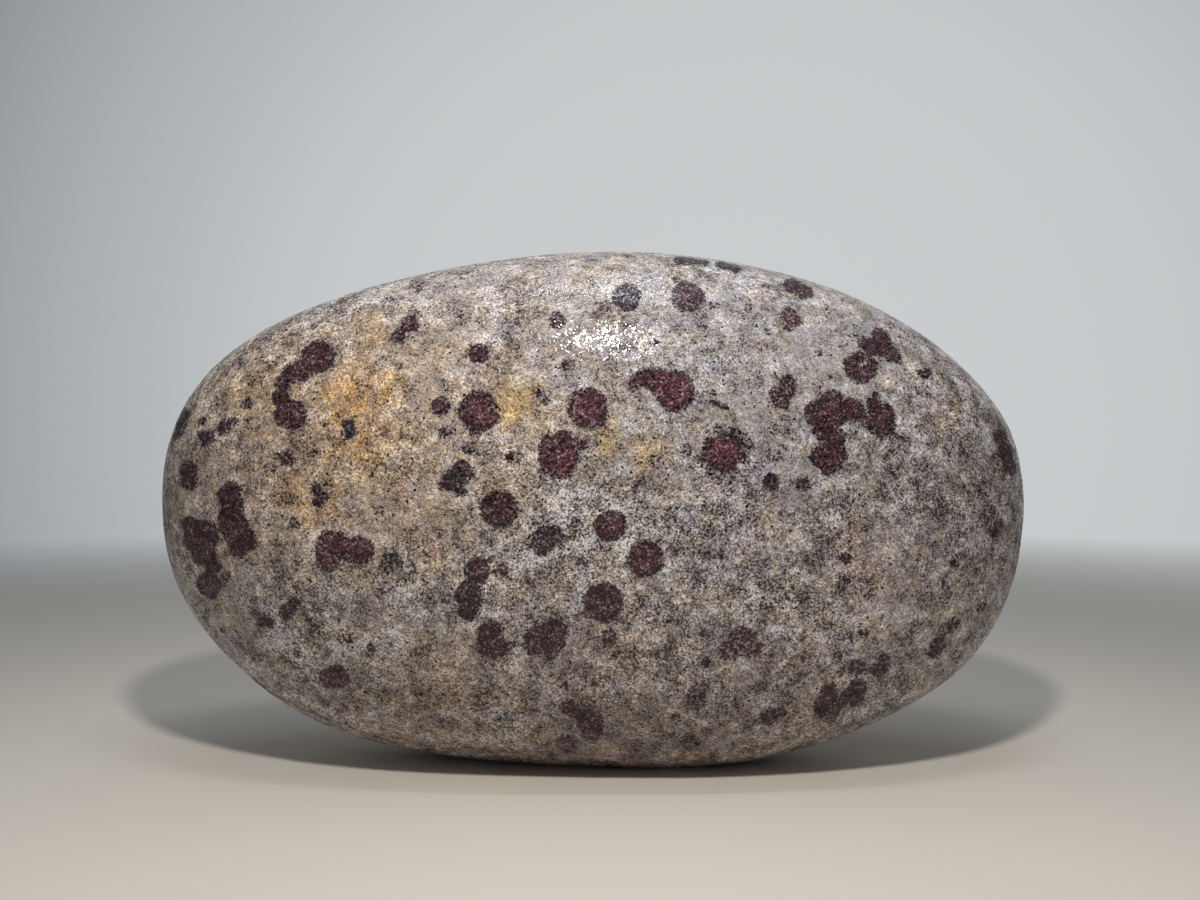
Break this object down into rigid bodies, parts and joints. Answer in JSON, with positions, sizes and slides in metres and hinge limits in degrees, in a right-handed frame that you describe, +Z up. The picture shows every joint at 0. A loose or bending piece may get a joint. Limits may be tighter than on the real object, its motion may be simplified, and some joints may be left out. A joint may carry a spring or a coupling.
{
  "type": "plum blossom viewing stone",
  "caption": "Oval, water-worn and waxed viewing stone with dark blossom-like mineral clusters, standing on its long edge on a small flat spot.",
  "frame": {"origin": "on the ground, under the middle of the stone's box", "axes": "+X along the stone's length, +Z up, and the shown face looks towards -Y"},
  "size_m": [0.1608, 0.0546, 0.0948],
  "materials": {
    "waxed_rock": "fine grey-beige grain with round clusters of dark red-brown grain, waxed to a soft gloss"
  },
  "bodies": {
    "root": {"viewing_stone": "waxed_rock"}
  },
  "joints": []
}
